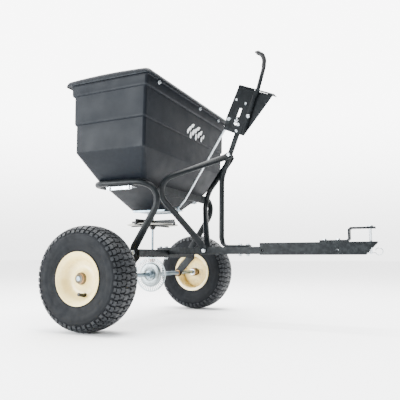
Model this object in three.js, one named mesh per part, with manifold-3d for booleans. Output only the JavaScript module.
// Tow-behind broadcast spreader for lawn seed and fertiliser.
//
// Millimetres, +Z up. The whole machine is drawn round its axle: X runs forward along the
// drawbar, Y runs to the left along the axle, Z = 0 is the ground, X = 0 is the axle.
// The exported group is then moved so that its origin is the middle of its footprint.
import * as THREE from 'three';
import { mergeVertices } from 'three/addons/utils/BufferGeometryUtils.js';
import Module from 'manifold-3d';

// ---- driving dimensions --------------------------------------------------------------------
const GAP = 0.3;                  // clearance between two pieces that touch
const FOOTPRINT_MIDDLE = 339;     // X of the footprint's middle, measured from the axle

// Wheels, 13 x 5.00-6 turf tyres
const AXLE_HEIGHT = 165;
const AXLE_RADIUS = 8;
const AXLE_BORE = 8.4;
const AXLE_HALF_LENGTH = 436;
const WHEEL_OFFSET = 392.5;
const WHEEL_SEGMENTS = 32;
const TYRE_RADIUS = 165;
const TYRE_HALF_WIDTH = 57;
const RIM_HALF_WIDTH = 50;
const RIM_FLANGE_RADIUS = 83;
const HUB_RADIUS = 17;

// Frame
const PLATE_INSIDE = 212.3;       // inner face of the axle plates
const PLATE_THICKNESS = 3;
const CHANNEL = { back: 46, front: 78, bottom: 230, top: 258, wall: 3, half: 212 };
const TUBE = { back: 28, front: 470, bottom: 241, side: 26, wall: 2 };
const TUBE_TOP = TUBE.bottom + TUBE.side;
const HOOP_RADIUS = 11;
const BRACE_RADIUS = 10;
const FLOW_TUBE_RADIUS = 9.5;
const HOOP_HEIGHT = 487;

// Hitch
const HITCH = { back: 441, front: 827, toe: 789, bottom: 238, top: 280, wall: 3, halfInside: 13.4 };
const HITCH_HALF = HITCH.halfInside + HITCH.wall;
const STRAP = { back: 647, riser: 741, front: 822, upper: 324, thickness: 6, half: 15 };
const PIN = { x: 806, radius: 4.5, bottom: 240, clipHeight: 248 };

// Hopper, about 65 litres. Half sizes along X and Y, heights from the ground
const HOPPER_MIDDLE = 16;
const HOPPER_WALL = 4;
const HOPPER_CORNER = 10;
const OUTLET = { back: -50, front: -16, inner: 12, outer: 44 };

// Spreading gear
const SHAFT_RADIUS = 4.3;
const SHAFT_BORE = 4.7;
const GEAR = { radius: 66, slots: 43, slotInner: 48, slotOuter: 61, slotHalf: 2.8, near: -9.5, thick: 2.5 };
const PINION = { teeth: 8, tip: 12.5, root: 8, tipHalf: 1.2, rootHalf: 2.2, middle: 220, height: 7 };
const IMPELLER = { radius: 99, height: 356, thick: 2.5, fins: 4, turned: -0.12 };
const FIN = { height: 15, half: 1.6, reach: 106, ribDepth: 5, ribHalf: 3.5 };

// Flow control
const PIVOT = { x: 408, z: 735 };
const ROD_TOP = { x: 328, z: 738 };
const ROD_FOOT = { x: 107, z: 412 };
const ROD_RADIUS = 4;
const SHEET = { face: -9.9, thick: 2.4 };
const STOP = { x: 358.2, z: 725 };

// ---- materials -----------------------------------------------------------------------------
function finish(color, roughness, metalness) {
  return new THREE.MeshStandardMaterial({ color, roughness, metalness });
}
const paint = finish(0x23282b, 0.45, 0.1);
const plastic = finish(0x2b3033, 0.6, 0.0);
const blackPlastic = finish(0x141517, 0.5, 0.0);
const palePlastic = finish(0xc9c7bd, 0.5, 0.0);
const rubber = finish(0x2c2e31, 0.85, 0.0);
const cream = finish(0xe9dcb4, 0.4, 0.1);
const zinc = finish(0xb6bec0, 0.35, 0.9);
const bronze = finish(0x9b5f33, 0.5, 0.7);

// ---- solid tools ---------------------------------------------------------------------------
const wasm = await Module();
wasm.setup();

// Shared vertices merged, flat slivers dropped, and faces turned outwards
function weld(geometry) {
  const bare = geometry.clone();
  bare.deleteAttribute('normal');
  bare.deleteAttribute('uv');
  const merged = mergeVertices(bare, 1e-4);
  const position = merged.attributes.position;
  const index = merged.index.array;
  const corners = [0, 1, 2].map(() => new THREE.Vector3());
  const faces = [];
  let volume = 0;
  for (let i = 0; i < index.length; i += 3) {
    const [a, b, c] = [index[i], index[i + 1], index[i + 2]];
    if (a === b || b === c || c === a) continue;
    faces.push(a, b, c);
    [a, b, c].forEach((vertex, k) => corners[k].fromBufferAttribute(position, vertex));
    volume += corners[0].dot(corners[1].cross(corners[2])) / 6;
  }
  if (volume < 0) faces.reverse();
  merged.setIndex(faces);
  return merged;
}

function toSolid(shape) {
  if (!shape.isBufferGeometry) return shape;
  const merged = weld(shape);
  return new wasm.Manifold(new wasm.Mesh({
    numProp: 3,
    vertProperties: new Float32Array(merged.attributes.position.array),
    triVerts: new Uint32Array(merged.index.array),
  }));
}

function toGeometry(shape) {
  if (shape.isBufferGeometry) return weld(shape);
  const mesh = shape.getMesh();
  const geometry = new THREE.BufferGeometry();
  geometry.setAttribute('position', new THREE.BufferAttribute(mesh.vertProperties, 3));
  geometry.setIndex(new THREE.BufferAttribute(mesh.triVerts, 1));
  return geometry;
}

function join(...shapes) {
  return shapes.map(toSolid).reduce((whole, next) => whole.add(next));
}

function cut(shape, ...tools) {
  return tools.map(toSolid).reduce((whole, next) => whole.subtract(next), toSolid(shape));
}

// ---- shape tools ---------------------------------------------------------------------------
const at = (x, y, z) => new THREE.Vector3(x, y, z);

function block(low, high) {
  const size = high.map((value, k) => value - low[k]);
  const middle = high.map((value, k) => (value + low[k]) / 2);
  return new THREE.BoxGeometry(...size).translate(...middle);
}

function rod(from, to, radius, sides = 12) {
  const along = to.clone().sub(from);
  const turn = new THREE.Quaternion().setFromUnitVectors(at(0, 1, 0), along.clone().normalize());
  const middle = from.clone().add(to).multiplyScalar(0.5);
  return new THREE.CylinderGeometry(radius, radius, along.length(), sides)
    .applyQuaternion(turn).translate(middle.x, middle.y, middle.z);
}

// Route through the points, with each corner rounded to about the bend radius
function route(points, bend) {
  const path = new THREE.CurvePath();
  let start = points[0];
  for (let i = 1; i < points.length - 1; i++) {
    const back = points[i - 1].clone().sub(points[i]);
    const ahead = points[i + 1].clone().sub(points[i]);
    const turn = Math.PI - back.angleTo(ahead);
    const reach = Math.min(bend * Math.tan(turn / 2), back.length() * 0.49, ahead.length() * 0.49);
    const enter = points[i].clone().addScaledVector(back.normalize(), reach);
    const leave = points[i].clone().addScaledVector(ahead.normalize(), reach);
    path.add(new THREE.LineCurve3(start, enter));
    path.add(new THREE.QuadraticBezierCurve3(enter, points[i], leave));
    start = leave;
  }
  path.add(new THREE.LineCurve3(start, points.at(-1)));
  return path;
}

function tube(points, radius, bend, steps, sides = 8) {
  const section = new THREE.Shape();
  for (let i = 0; i < sides; i++) {
    const angle = (2 * Math.PI * i) / sides;
    const corner = [radius * Math.cos(angle), radius * Math.sin(angle)];
    if (i === 0) section.moveTo(...corner);
    else section.lineTo(...corner);
  }
  const extrudePath = route(points, bend);
  return new THREE.ExtrudeGeometry(section, { steps, extrudePath, bevelEnabled: false });
}

function outline(points) {
  return new THREE.Shape(points.map(([u, v]) => new THREE.Vector2(u, v)));
}

// A flat plate: the outline is drawn in the named plane, and low and high bound its thickness
function plate(plane, points, low, high, holes = []) {
  const shape = outline(points);
  holes.forEach((hole) => shape.holes.push(new THREE.Path(outline(hole).getPoints())));
  const flat = new THREE.ExtrudeGeometry(shape, { depth: high - low, bevelEnabled: false });
  if (plane === 'xz') return flat.rotateX(Math.PI / 2).translate(0, high, 0);
  return flat.translate(0, 0, low);
}

function circle(x, y, radius, sides = 16) {
  return Array.from({ length: sides }, (_, i) => {
    const angle = (2 * Math.PI * i) / sides;
    return [x + radius * Math.cos(angle), y + radius * Math.sin(angle)];
  });
}

// A closed band of even width along a bent line
function ribbon(points, width) {
  const line = points.map(([u, v]) => new THREE.Vector2(u, v));
  const side = (sign) => line.map((point, i) => {
    const before = point.clone().sub(line[Math.max(i - 1, 0)]).normalize();
    const after = line[Math.min(i + 1, line.length - 1)].clone().sub(point).normalize();
    if (i === 0) before.copy(after);
    if (i === line.length - 1) after.copy(before);
    const mean = before.clone().add(after).normalize();
    const reach = (sign * width) / 2 / mean.dot(before);
    return [point.x - mean.y * reach, point.y + mean.x * reach];
  });
  return [...side(1), ...side(-1).reverse()];
}

// Turned piece. The profile is [radius, distance along the axis]
function turned(profile, segments, axis = 'z', place = [0, 0, 0]) {
  const points = profile.map(([radius, along]) => new THREE.Vector2(radius, along));
  const piece = new THREE.LatheGeometry(points, segments);
  if (axis === 'z') piece.rotateX(Math.PI / 2);
  return piece.translate(...place);
}

function ring(inner, outer, low, high, axis, place, segments = 20) {
  const profile = [[inner, low], [outer, low], [outer, high], [inner, high], [inner, low]];
  return turned(profile, segments, axis, place);
}

// Hexagon head, shank and nut in one piece, from the underside of the head along a direction
function bolt(seat, direction, grip, size = 4) {
  const along = direction.clone().normalize();
  const point = (distance) => seat.clone().addScaledVector(along, distance);
  const head = rod(point(-size * 1.2), point(0), size * 1.75, 6);
  const shank = rod(point(-size), point(grip + size * 2), size, 8);
  const nut = rod(point(grip), point(grip + size * 1.4), size * 1.7, 6);
  return join(head, shank, nut);
}

// Rounded rectangles stacked one on the next, closed at both ends
function stack(sections, cornerPoints = 4) {
  const vertices = [];
  const faces = [];
  const count = 4 * (cornerPoints + 1);
  sections.forEach(({ a, b, z, r }) => {
    for (let corner = 0; corner < 4; corner++) {
      const signX = corner === 0 || corner === 3 ? 1 : -1;
      const signY = corner < 2 ? 1 : -1;
      for (let k = 0; k <= cornerPoints; k++) {
        const angle = (Math.PI / 2) * (corner + k / cornerPoints);
        vertices.push(HOPPER_MIDDLE + signX * (a - r) + r * Math.cos(angle));
        vertices.push(signY * (b - r) + r * Math.sin(angle), z);
      }
    }
  });
  for (let level = 0; level < sections.length - 1; level++) {
    for (let k = 0; k < count; k++) {
      const [p, q] = [level * count + k, level * count + ((k + 1) % count)];
      faces.push(p, q, q + count, p, q + count, p + count);
    }
  }
  const last = (sections.length - 1) * count;
  for (let k = 1; k < count - 1; k++) {
    faces.push(0, k + 1, k);
    faces.push(last, last + k, last + k + 1);
  }
  const geometry = new THREE.BufferGeometry();
  geometry.setAttribute('position', new THREE.Float32BufferAttribute(vertices, 3));
  geometry.setIndex(faces);
  return geometry;
}

const group = new THREE.Group();
const machine = new THREE.Group();
machine.position.x = -FOOTPRINT_MIDDLE;
group.add(machine);

function addPiece(name, shape, material) {
  const mesh = new THREE.Mesh(toGeometry(shape), material);
  mesh.name = name;
  machine.add(mesh);
}

const SIDES = [['right', -1], ['left', 1]];

// ---- hopper --------------------------------------------------------------------------------
// Three upright bands with small ledges, then a steep and a shallow taper down to the outlet floor
const HOPPER_OUTSIDE = [
  { a: 74, b: 64, z: 409, r: 8 },
  { a: 100.4, b: 248.6, z: 499.6, r: HOPPER_CORNER + 8 },
  { a: 140.4, b: 320.5, z: 589.6, r: HOPPER_CORNER },
  { a: 141.8, b: 321, z: 686.8, r: HOPPER_CORNER },
  { a: 146.3, b: 326.5, z: 688, r: HOPPER_CORNER },
  { a: 147.8, b: 327, z: 789, r: HOPPER_CORNER },
  { a: 155.6, b: 332, z: 791, r: HOPPER_CORNER },
  { a: 156.6, b: 333, z: 826, r: HOPPER_CORNER },
  { a: 172.2, b: 349, z: 825, r: HOPPER_CORNER + 5 },
  { a: 172.2, b: 349, z: 838, r: HOPPER_CORNER + 5 },
  { a: 169, b: 346, z: 841, r: HOPPER_CORNER + 3 },
];
const HOPPER_INSIDE = [
  { a: 152.6, b: 329, z: 841, r: HOPPER_CORNER - 3 },
  { a: 151.6, b: 328, z: 793, r: HOPPER_CORNER - 3 },
  { a: 143.8, b: 323, z: 787, r: HOPPER_CORNER - 3 },
  { a: 141.8, b: 322, z: 692, r: HOPPER_CORNER - 3 },
  { a: 137.8, b: 317, z: 684, r: HOPPER_CORNER - 3 },
  { a: 136.4, b: 316.5, z: 590, r: HOPPER_CORNER - 3 },
  { a: 96.4, b: 242, z: 501, r: 14 },
  { a: 70, b: 58, z: 409 + HOPPER_WALL, r: 5 },
];
const outlets = SIDES.map(([, sign]) => {
  const [low, high] = [sign * OUTLET.inner, sign * OUTLET.outer].sort((p, q) => p - q);
  return block([OUTLET.back, low, 400], [OUTLET.front, high, 420]);
});
const bushingHole = rod(at(0, 0, 400), at(0, 0, 420), 9.3, 16);
addPiece('hopper', cut(stack([...HOPPER_OUTSIDE, ...HOPPER_INSIDE]), ...outlets, bushingHole), plastic);

// ---- frame ---------------------------------------------------------------------------------
// Cross channel, open upwards, with its flanges notched for the drawbar tube
const channelBlock = block([CHANNEL.back, -CHANNEL.half, CHANNEL.bottom],
  [CHANNEL.front, CHANNEL.half, CHANNEL.top]);
const channelInside = block(
  [CHANNEL.back + CHANNEL.wall, -CHANNEL.half - 1, CHANNEL.bottom + CHANNEL.wall],
  [CHANNEL.front - CHANNEL.wall, CHANNEL.half + 1, CHANNEL.top + 1]);
const tubeNotch = block([CHANNEL.back - 1, -TUBE.side / 2 - GAP, TUBE.bottom - GAP],
  [CHANNEL.front + 1, TUBE.side / 2 + GAP, CHANNEL.top + 1]);
const CHANNEL_BOLT_X = (CHANNEL.back + CHANNEL.front) / 2;
const REAR_BOLT_X = 36.5;
const BOLT_HOLE = 4.4;
const upright = (x, low, high, radius = BOLT_HOLE) => rod(at(x, 0, low), at(x, 0, high), radius, 12);
const across = (x, z, half, radius = BOLT_HOLE) => rod(at(x, -half, z), at(x, half, z), radius, 12);
addPiece('cross_channel', cut(channelBlock, channelInside, tubeNotch,
  upright(CHANNEL_BOLT_X, CHANNEL.bottom - 1, CHANNEL.bottom + 5)), paint);
addPiece('tongue_spacer', ring(BOLT_HOLE, 9, CHANNEL.bottom + CHANNEL.wall + GAP, TUBE.bottom - GAP,
  'z', [CHANNEL_BOLT_X, 0, 0]), zinc);

// Drawbar tube and every bolt hole in it
const FOOT_BOLTS = { rear: 364, front: 393 };
const BRACE_FOOT = { x: 228, z: 255 };
const HITCH_BOLTS = { rear: 451, front: 704, z: 254 };
const tubeBlock = block([TUBE.back, -TUBE.side / 2, TUBE.bottom], [TUBE.front, TUBE.side / 2, TUBE_TOP]);
const tubeBore = block([TUBE.back - 1, TUBE.wall - TUBE.side / 2, TUBE.bottom + TUBE.wall],
  [TUBE.front + 1, TUBE.side / 2 - TUBE.wall, TUBE_TOP - TUBE.wall]);
const tubeHoles = [REAR_BOLT_X, CHANNEL_BOLT_X, FOOT_BOLTS.rear, FOOT_BOLTS.front]
  .map((x) => upright(x, TUBE.bottom - 1, TUBE_TOP + 1));
addPiece('drawbar_tube', cut(tubeBlock, tubeBore, ...tubeHoles,
  across(BRACE_FOOT.x, BRACE_FOOT.z, 20), across(HITCH_BOLTS.rear, HITCH_BOLTS.z, 20)), paint);

// Plate under the drawbar tube that carries the lower end of the impeller shaft
const SUPPORT = { back: -24, front: CHANNEL.back - GAP, half: 22, thick: 3.2 };
const SUPPORT_TOP = TUBE.bottom - GAP;
const SUPPORT_BOTTOM = SUPPORT_TOP - SUPPORT.thick;
addPiece('shaft_support_bracket', cut(
  block([SUPPORT.back, -SUPPORT.half, SUPPORT_BOTTOM], [SUPPORT.front, SUPPORT.half, SUPPORT_TOP]),
  upright(0, SUPPORT_BOTTOM - 1, SUPPORT_TOP + 1, 8.3),
  upright(REAR_BOLT_X, SUPPORT_BOTTOM - 1, SUPPORT_TOP + 1)), paint);
addPiece('shaft_bushing_lower', turned([[SHAFT_BORE, SUPPORT_BOTTOM - 2.8], [12, SUPPORT_BOTTOM - 2.8],
  [12, SUPPORT_BOTTOM - GAP], [8, SUPPORT_BOTTOM - GAP], [8, SUPPORT_TOP + 1.5],
  [SHAFT_BORE, SUPPORT_TOP + 1.5], [SHAFT_BORE, SUPPORT_BOTTOM - 2.8]], 16), bronze);
addPiece('shaft_bushing_upper', turned([[SHAFT_BORE, 409], [9, 409], [9, 413.3], [13, 413.3],
  [13, 416.5], [SHAFT_BORE, 416.5], [SHAFT_BORE, 409]], 16), bronze);

// Axle plates, each with a flanged bushing for the axle
const HOOP_FOOT = { x: 55, z: 246 };
const AXLE_PLATE = [[-17, 165], [-12, 153], [0, 148], [12, 153], [18, 164], [78, 226], [78, 258],
  [46, 258], [43, 238], [-12, 177]];
const BUSHING_RADIUS = 11;
SIDES.forEach(([side, sign]) => {
  const [low, high] = [sign * PLATE_INSIDE, sign * (PLATE_INSIDE + PLATE_THICKNESS)].sort((p, q) => p - q);
  const hole = circle(0, AXLE_HEIGHT, BUSHING_RADIUS + GAP);
  const footHole = circle(HOOP_FOOT.x, HOOP_FOOT.z, BOLT_HOLE, 10);
  addPiece(`axle_plate_${side}`, plate('xz', AXLE_PLATE, low, high, [hole, footHole]), paint);
  const flange = PLATE_INSIDE + PLATE_THICKNESS + GAP;
  const profile = [[AXLE_BORE, 208], [BUSHING_RADIUS, 208], [BUSHING_RADIUS, flange], [15, flange],
    [15, flange + 3], [AXLE_BORE, flange + 3], [AXLE_BORE, 208]]
    .map(([radius, along]) => [radius, sign * along]);
  addPiece(`axle_bushing_${side}`, turned(profile, 16, 'y', [0, 0, AXLE_HEIGHT]), bronze);
});

// Tubular hoop that cradles the hopper and runs down to the two axle plates
const HOOP_SIDE = [at(-96, 253, HOOP_HEIGHT), at(60, 253, HOOP_HEIGHT), at(102, 250, 485), at(136, 232, 470),
  at(149, 224, 440), at(147, 221, 405), at(57, 212.8, 266)];
const mirrored = HOOP_SIDE.map((point) => at(point.x, -point.y, point.z));
const footInside = PLATE_INSIDE + PLATE_THICKNESS + GAP;
const hoopFeet = SIDES.map(([, sign]) => {
  const [low, high] = [sign * footInside, sign * (footInside + 5)].sort((p, q) => p - q);
  return cut(block([44, low, 234], [66, high, 276]),
    across(HOOP_FOOT.x, HOOP_FOOT.z, 240));
});
addPiece('hopper_hoop', join(tube([...mirrored.reverse(), ...HOOP_SIDE], HOOP_RADIUS, 42, 68),
  ...hoopFeet), paint);

// Zinc angle brackets between the hoop and the hopper's taper
SIDES.forEach(([side, sign]) => {
  const upper = HOOP_HEIGHT - HOOP_RADIUS - 3.4;
  const angle = [[sign * 222, upper], [sign * 256, upper], [sign * 256, upper - 11],
    [sign * 253.6, upper - 11], [sign * 253.6, upper - 2.4], [sign * 222, upper - 2.4]];
  const flat = new THREE.ExtrudeGeometry(outline(angle), { depth: 104, bevelEnabled: false });
  flat.applyMatrix4(new THREE.Matrix4().makeBasis(at(0, 1, 0), at(0, 0, 1), at(1, 0, 0)));
  addPiece(`hopper_bracket_${side}`, flat.translate(-36, 0, 0), zinc);
});

// Bent side braces from the drawbar out to the hopper and back in to the flow control tube
const BRACE_TOP = { x: 327, z: 601 };
SIDES.forEach(([side, sign]) => {
  const y = (value) => sign * value;
  const legs = tube([at(226.5, y(22), 258.5), at(121, y(224), 480), at(325, y(18.8), 596.5)],
    BRACE_RADIUS, 55, 20);
  const foot = rod(at(BRACE_FOOT.x, y(13 + GAP), BRACE_FOOT.z), at(BRACE_FOOT.x, y(19), BRACE_FOOT.z),
    12.5, 14);
  const top = rod(at(BRACE_TOP.x, y(9.9), BRACE_TOP.z), at(BRACE_TOP.x, y(15.5), BRACE_TOP.z), 12.5, 14);
  const footSeat = rod(at(BRACE_FOOT.x, y(19), BRACE_FOOT.z), at(BRACE_FOOT.x, y(40), BRACE_FOOT.z), 9);
  const topSeat = rod(at(BRACE_TOP.x, y(15.5), BRACE_TOP.z), at(BRACE_TOP.x, y(40), BRACE_TOP.z), 9);
  addPiece(`side_brace_${side}`, cut(join(legs, foot, top), footSeat, topSeat,
    across(BRACE_FOOT.x, BRACE_FOOT.z, 60), across(BRACE_TOP.x, BRACE_TOP.z, 60)), paint);
});
// The strap between the braces is notched where the flow rod passes
addPiece('brace_cross_strap', cut(block([143.1, -170, 449], [146.1, 170, 476]),
  block([140, -5, 440], [150, 13, 468])), paint);

// Flow control tube with its flattened foot on the drawbar
const TUBE_SEAT = TUBE_TOP + 0.4;
const flowTube = tube([at(344, 0, 277), at(294, 0, 277), at(294, 0, 520), at(370.5, 0, 720)],
  FLOW_TUBE_RADIUS, 46, 28);
const flowFoot = block([333, -13, TUBE_SEAT], [410, 13, TUBE_SEAT + 6]);
const BRACKET_BOLTS = { upper: [366.5, 711], lower: [358, 689] };
addPiece('flow_tube', cut(join(flowTube, flowFoot),
  upright(FOOT_BOLTS.rear, 260, 290), upright(FOOT_BOLTS.front, 260, 290),
  across(BRACE_TOP.x, BRACE_TOP.z, 30), across(...BRACKET_BOLTS.upper, 30),
  across(...BRACKET_BOLTS.lower, 30)), paint);

// Slotted sheet bracket on the flow control tube, with a guide flange along its upper edge
const SHEET_OUTLINE = [[368, 855], [320, 748], [308, 701], [349, 682], [386, 668], [496, 801]];
const sheetSlot = ribbon([[376, 772], [353.5, 712.7]], 10);
const sheetBack = SHEET.face - SHEET.thick;
const flange = ribbon([[368, 856.2], [511, 795.8]], SHEET.thick);
const FLANGE_DEPTH = 32;
const leverWindow = plate('xz', ribbon([[429, 830.4], [485, 806.8]], 12), -28, -14);
const flangeCorner = plate('xy', [[340, sheetBack], [368, sheetBack], [390, -60], [340, -60]], 780, 900);
addPiece('flow_bracket', cut(join(
  plate('xz', SHEET_OUTLINE, sheetBack, SHEET.face, [sheetSlot, circle(PIVOT.x, PIVOT.z, 5.8),
    circle(...BRACKET_BOLTS.upper, BOLT_HOLE, 10), circle(...BRACKET_BOLTS.lower, BOLT_HOLE, 10)]),
  plate('xz', flange, SHEET.face - FLANGE_DEPTH, SHEET.face)), leverWindow, flangeCorner), paint);

// Rails that hold the closure plate under the hopper floor
const PLATE_TOP = 406.3;
const PLATE_BOTTOM = 404.3;
SIDES.forEach(([side, sign]) => {
  const span = (inner, outer) => [sign * inner, sign * outer].sort((p, q) => p - q);
  const [railLow, railHigh] = span(50.6, 58);
  const [lipLow, lipHigh] = span(44, 58);
  addPiece(`closure_guide_${side}`, join(
    block([-54, railLow, 401.5], [84, railHigh, 408.7]),
    block([-54, lipLow, 401.5], [84, lipHigh, 403.9])), zinc);
});

// ---- hitch ---------------------------------------------------------------------------------
const hitchShape = [[HITCH.back, HITCH.bottom], [HITCH.toe, HITCH.bottom],
  [HITCH.front, HITCH.top - HITCH.wall], [HITCH.front, HITCH.top], [HITCH.back, HITCH.top]];
const STRAP_BOLTS = { rear: 661, front: 705 };
addPiece('hitch_channel', cut(plate('xz', hitchShape, -HITCH_HALF, HITCH_HALF),
  block([HITCH.back - 1, -HITCH.halfInside, HITCH.bottom - 1],
    [HITCH.front + 1, HITCH.halfInside, HITCH.top - HITCH.wall]),
  across(HITCH_BOLTS.rear, HITCH_BOLTS.z, 30), across(HITCH_BOLTS.front, HITCH_BOLTS.z, 30),
  upright(STRAP_BOLTS.rear, 270, 290), upright(STRAP_BOLTS.front, 270, 290),
  upright(PIN.x, 270, 290, 5.5)), paint);
const strapSeat = HITCH.top + GAP + STRAP.thickness / 2;
const strapLine = [[STRAP.back, strapSeat], [STRAP.riser - 6, strapSeat], [STRAP.riser, strapSeat + 6],
  [STRAP.riser, STRAP.upper - 6], [STRAP.riser + 6, STRAP.upper], [STRAP.front, STRAP.upper]];
addPiece('hitch_strap', cut(plate('xz', ribbon(strapLine, STRAP.thickness), -STRAP.half, STRAP.half),
  upright(STRAP_BOLTS.rear, 275, 300), upright(STRAP_BOLTS.front, 275, 300),
  upright(PIN.x, 315, 335, 5.5)), paint);

// Bolts of the frame and the hitch
const down = at(0, 0, -1);
const left = at(0, 1, 0);
const STRAP_TOP = HITCH.top + GAP + STRAP.thickness;
const SHEET_OUT = sheetBack - GAP;
addPiece('tongue_rear_bolt', bolt(at(REAR_BOLT_X, 0, TUBE_TOP + GAP), down, 30.5), zinc);
addPiece('tongue_channel_bolt', bolt(at(CHANNEL_BOLT_X, 0, TUBE_TOP + GAP), down, 37.7), zinc);
addPiece('brace_foot_bolt', bolt(at(BRACE_FOOT.x, -19 - GAP, BRACE_FOOT.z), left, 38.8), zinc);
addPiece('brace_top_bolt', bolt(at(BRACE_TOP.x, -15.5 - GAP, BRACE_TOP.z), left, 31.8), zinc);
addPiece('foot_bolt_rear', bolt(at(FOOT_BOLTS.rear, 0, TUBE_SEAT + 6 + GAP), down, 33.2), zinc);
addPiece('foot_bolt_front', bolt(at(FOOT_BOLTS.front, 0, TUBE_SEAT + 6 + GAP), down, 33.2), zinc);
addPiece('hitch_bolt_rear', bolt(at(HITCH_BOLTS.rear, -HITCH_HALF - GAP, HITCH_BOLTS.z), left, 33.5), zinc);
addPiece('hitch_bolt_front', bolt(at(HITCH_BOLTS.front, -HITCH_HALF - GAP, HITCH_BOLTS.z), left, 33.5), zinc);
addPiece('strap_bolt_rear', bolt(at(STRAP_BOLTS.rear, 0, STRAP_TOP + GAP), down, 10), zinc);
addPiece('strap_bolt_front', bolt(at(STRAP_BOLTS.front, 0, STRAP_TOP + GAP), down, 10), zinc);
Object.entries(BRACKET_BOLTS).forEach(([place, [x, z]]) => {
  addPiece(`bracket_bolt_${place}`, bolt(at(x, SHEET_OUT, z), left, 22.5), zinc);
});

// ---- hitch pin and its clip ----------------------------------------------------------------
const pinTop = STRAP.upper + STRAP.thickness / 2 + GAP;
const clipBore = rod(at(PIN.x - 8, 0, PIN.clipHeight), at(PIN.x + 8, 0, PIN.clipHeight), 2.1, 10);
const pinShape = [[0, PIN.bottom], [PIN.radius - 1.5, PIN.bottom], [PIN.radius, PIN.bottom + 2],
  [PIN.radius, pinTop], [9, pinTop], [9, pinTop + 4], [0, pinTop + 4]];
addPiece('hitch_pin', cut(turned(pinShape, 16, 'z', [PIN.x, 0, 0]), clipBore), zinc);
const CLIP = { radius: 11.5, wire: 1.5, middle: 830 };
const clipLoop = Array.from({ length: 11 }, (_, i) => {
  const angle = Math.PI + 0.35 + (i * (2 * Math.PI - 1.1)) / 10;
  return at(CLIP.middle + CLIP.radius * Math.cos(angle), 0, PIN.clipHeight + CLIP.radius * Math.sin(angle));
});
addPiece('pin_clip', tube([at(PIN.x - 12, 0, PIN.clipHeight), at(PIN.x + 11, 0, PIN.clipHeight),
  ...clipLoop], CLIP.wire, 6, 32, 6), zinc);

// ---- axle, wheels and drive gear -----------------------------------------------------------
const onAxle = [0, 0, AXLE_HEIGHT];
addPiece('axle_shaft', rod(at(0, -AXLE_HALF_LENGTH, AXLE_HEIGHT), at(0, AXLE_HALF_LENGTH, AXLE_HEIGHT),
  AXLE_RADIUS, 20), zinc);
const pitch = (2 * Math.PI) / GEAR.slots;
const gearSlots = Array.from({ length: GEAR.slots }, (_, i) => {
  const angle = Math.PI / 2 + i * pitch;
  const [c, s] = [Math.cos(angle), Math.sin(angle)];
  const spot = (radius) => [radius * c, AXLE_HEIGHT + radius * s];
  return ribbon([spot(GEAR.slotInner), spot(GEAR.slotOuter)], GEAR.slotHalf * 2);
});
addPiece('drive_gear', plate('xz', circle(0, AXLE_HEIGHT, GEAR.radius, 60), GEAR.near - GEAR.thick, GEAR.near,
  [circle(0, AXLE_HEIGHT, AXLE_BORE, 20), ...gearSlots]), zinc);
addPiece('gear_hub', ring(AXLE_BORE, 15, GEAR.near - GEAR.thick - GAP - 16, GEAR.near - GEAR.thick - GAP,
  'y', onAxle), zinc);

const step = Math.PI / WHEEL_SEGMENTS;
const roundUp = 1 / Math.cos(step);   // puts the flats of the faceted tyre at its true radius
const TREAD = [[73.4, 46.5], [83.4, 46.5], [92, 54], [112, TYRE_HALF_WIDTH], [134, 56],
  [152, 49], [TYRE_RADIUS - 1, 28], [TYRE_RADIUS, 0]];
const CARCASS = [[152, 0], [148, 30], [130, 47], [92, 46], [73.4, 38]];
const mirrorHalf = (half) => half.map(([radius, along]) => [radius, -along]).reverse();
const tyreProfile = [...TREAD, ...mirrorHalf(TREAD.slice(0, -1)),
  ...mirrorHalf(CARCASS.slice(1)), CARCASS[0], ...CARCASS.slice(1), TREAD[0]]
  .map(([radius, along]) => [radius * roundUp, along]);
const RIM_PROFILE = [[AXLE_BORE, -32], [HUB_RADIUS, -32], [HUB_RADIUS, 5], [62, 9], [70, -20],
  [70, -RIM_HALF_WIDTH], [RIM_FLANGE_RADIUS, -RIM_HALF_WIDTH], [RIM_FLANGE_RADIUS, 3 - RIM_HALF_WIDTH],
  [73, 3 - RIM_HALF_WIDTH], [73, RIM_HALF_WIDTH - 3], [RIM_FLANGE_RADIUS, RIM_HALF_WIDTH - 3],
  [RIM_FLANGE_RADIUS, RIM_HALF_WIDTH], [70, RIM_HALF_WIDTH], [64, 14], [HUB_RADIUS, 9],
  [HUB_RADIUS, 36], [AXLE_BORE, 36], [AXLE_BORE, -32]];
const VALVE = { x: 8, foot: 52, tip: 47, radius: 4.6 };
SIDES.forEach(([side, sign]) => {
  const place = [0, sign * WHEEL_OFFSET, AXLE_HEIGHT];
  const outward = (profile) => profile.map(([radius, along]) => [radius, sign * along]);
  const tyre = turned(outward(tyreProfile), WHEEL_SEGMENTS, 'y').rotateY(step).translate(...place);
  addPiece(`tyre_${side}`, tyre, rubber);
  const valveFoot = (along) => at(VALVE.x, sign * (WHEEL_OFFSET + along), AXLE_HEIGHT - VALVE.foot);
  const valveTip = at(VALVE.x, sign * (WHEEL_OFFSET + 42), AXLE_HEIGHT - VALVE.tip);
  addPiece(`rim_${side}`, cut(turned(outward(RIM_PROFILE), WHEEL_SEGMENTS, 'y', place),
    rod(valveFoot(-4), valveTip, VALVE.radius + 1.8, 10)), cream);
  addPiece(`valve_${side}`, rod(valveFoot(-2), valveTip, VALVE.radius, 10), blackPlastic);
});
// The right wheel is pinned to the axle and drives the gear; the left one turns freely
addPiece('axle_collar_left',
  ring(AXLE_BORE, 14, WHEEL_OFFSET - 44, WHEEL_OFFSET - 32 - GAP, 'y', onAxle, 16), zinc);
SIDES.forEach(([side, sign]) => {
  const [low, high] = [sign * (WHEEL_OFFSET + 36 + GAP), sign * (WHEEL_OFFSET + 39.5)].sort((p, q) => p - q);
  addPiece(`axle_cap_${side}`, ring(AXLE_BORE, 14.5, low, high, 'y', onAxle, 16), zinc);
});

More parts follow.
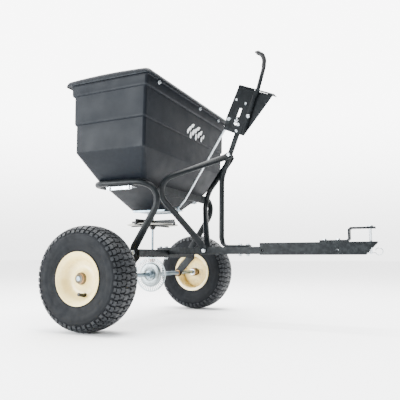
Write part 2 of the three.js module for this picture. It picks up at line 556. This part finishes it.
// ---- impeller shaft ------------------------------------------------------------------------
addPiece('rotor_shaft', upright(0, 203, 452, SHAFT_RADIUS), zinc);
const pinionShape = Array.from({ length: PINION.teeth }, (_, i) => {
  const angle = -Math.PI / 2 + (2 * Math.PI * i) / PINION.teeth;
  const spot = (radius, offset) => [radius * Math.cos(angle) - offset * Math.sin(angle),
    radius * Math.sin(angle) + offset * Math.cos(angle)];
  return [spot(PINION.root, -PINION.rootHalf), spot(PINION.tip, -PINION.tipHalf),
    spot(PINION.tip, PINION.tipHalf), spot(PINION.root, PINION.rootHalf)];
}).flat();
const toothed = plate('xy', pinionShape, PINION.middle - PINION.height / 2,
  PINION.middle + PINION.height / 2);
const pinionHub = rod(at(0, 0, 206), at(0, 0, PINION.middle), PINION.root, 16);
addPiece('pinion', cut(join(toothed, pinionHub), upright(0, 200, 230, SHAFT_BORE)), bronze);

addPiece('impeller_plate', ring(10, IMPELLER.radius, IMPELLER.height, IMPELLER.height + IMPELLER.thick,
  'z', [0, 0, 0], 40), palePlastic);
// Each fin stands on the plate, and its end joins it to a rib under the plate
const finBottom = IMPELLER.height + IMPELLER.thick + GAP;
const ribTop = IMPELLER.height - GAP;
const finEnd = IMPELLER.radius + GAP;
const fins = Array.from({ length: IMPELLER.fins }, (_, i) => join(
  block([6, -FIN.half, finBottom], [FIN.reach, FIN.half, finBottom + FIN.height]),
  block([6, -FIN.ribHalf, ribTop - FIN.ribDepth], [FIN.reach, FIN.ribHalf, ribTop]),
  block([finEnd, -FIN.ribHalf, ribTop - FIN.ribDepth], [FIN.reach, FIN.ribHalf, finBottom + 6]))
  .rotate([0, 0, THREE.MathUtils.radToDeg(IMPELLER.turned + (i * 2 * Math.PI) / IMPELLER.fins)]));
addPiece('impeller_fins', cut(join(rod(at(0, 0, 338), at(0, 0, finBottom + 12), 9.6, 16), ...fins),
  upright(0, 330, 390, SHAFT_BORE)), blackPlastic);
addPiece('agitator', cut(join(rod(at(0, 0, 424), at(0, 0, 437), 10, 14),
  rod(at(0, -42, 430), at(0, 42, 430), 3, 8)), upright(0, 420, 440, SHAFT_BORE)), zinc);

// ---- flow control lever, rod, closure plate and stop ---------------------------------------
const LEVER_LINE = [[383, 669], [431, 804], [445, 829], [463, 889], [472, 936], [464, 955], [436, 974]];
const LEVER = { near: -23, far: -18, width: 14 };
const ARM = { near: -8.9, far: -5 };
const leverBar = plate('xz', ribbon(LEVER_LINE, LEVER.width), LEVER.near, LEVER.far);
const leverBoss = plate('xz', circle(PIVOT.x, PIVOT.z, 11), LEVER.near, LEVER.far);
const leverPin = across(PIVOT.x, PIVOT.z, 1, 5).scale(1, 13, 1).translate(0, -15, 0);
const leverArm = plate('xz', ribbon([[PIVOT.x + 8, PIVOT.z], [ROD_TOP.x + 4, ROD_TOP.z],
  [ROD_TOP.x - 7, ROD_TOP.z]], 10), ARM.near, ARM.far);
const armEye = plate('xz', circle(ROD_TOP.x, ROD_TOP.z, 8), ARM.near, ARM.far);
addPiece('flow_lever', cut(join(leverBar, leverBoss, leverPin, leverArm, armEye),
  across(ROD_TOP.x, ROD_TOP.z, 20, ROD_RADIUS + 0.4)), paint);
const gripLine = LEVER_LINE.slice(-3);
const gripShell = plate('xz', ribbon([[468, 948], ...gripLine.slice(1), [430, 978]], 21),
  LEVER.near - 3.5, LEVER.far + 3.5);
const gripBore = plate('xz', ribbon([[473.5, 935], ...gripLine.slice(1), [435.2, 974.5]], LEVER.width + 1),
  LEVER.near - 0.5, LEVER.far + 0.5);
addPiece('lever_grip', cut(gripShell, gripBore), blackPlastic);

const rodLine = [at(ROD_TOP.x, -9.2, ROD_TOP.z), at(ROD_TOP.x, 4, ROD_TOP.z), at(137, 4, 444),
  at(ROD_FOOT.x, 4, ROD_FOOT.z), at(ROD_FOOT.x, -9, ROD_FOOT.z)];
addPiece('flow_rod', tube(rodLine, ROD_RADIUS, 5, 44, 6), zinc);

const TRAVEL = 40;
const closurePlate = plate('xy', [[-56, -50], [60, -50], [84, -13], [133, -13], [133, 4], [84, 4], [60, 50],
  [-56, 50]], PLATE_BOTTOM, PLATE_TOP, [[[-TRAVEL - 6, -6], [6, -6], [6, 6], [-TRAVEL - 6, 6]]]);
const ear = plate('xz', [[92, PLATE_BOTTOM], [122, PLATE_BOTTOM], [120, 422], [94, 422]], -7, -4,
  [circle(ROD_FOOT.x, ROD_FOOT.z + 0.6, 6.6, 14)]);
addPiece('closure_plate', join(closurePlate, ear), zinc);

// Stop bolt with a thin head behind the sheet and a wing nut in front
const STOP_HEAD = 2.4;
const wingFace = sheetBack - GAP;
const stopShaft = rod(at(STOP.x, wingFace - 10, STOP.z), at(STOP.x, SHEET.face + GAP, STOP.z), 4, 12);
const stopHead = rod(at(STOP.x, SHEET.face + GAP, STOP.z),
  at(STOP.x, SHEET.face + GAP + STOP_HEAD, STOP.z), 6.4, 12);
addPiece('stop_bolt', join(stopShaft, stopHead), zinc);
const wingLine = [[STOP.x - 3.4, STOP.z - 9], [STOP.x, STOP.z], [STOP.x + 3.4, STOP.z + 9]];
const wing = plate('xz', ribbon(wingLine, 5), wingFace - 8, wingFace - 2);
addPiece('stop_wing_nut', cut(join(wing, rod(at(STOP.x, wingFace - 7, STOP.z),
  at(STOP.x, wingFace, STOP.z), 5.8, 12)), across(STOP.x, STOP.z, 30, 4.3)), zinc);

export default group;
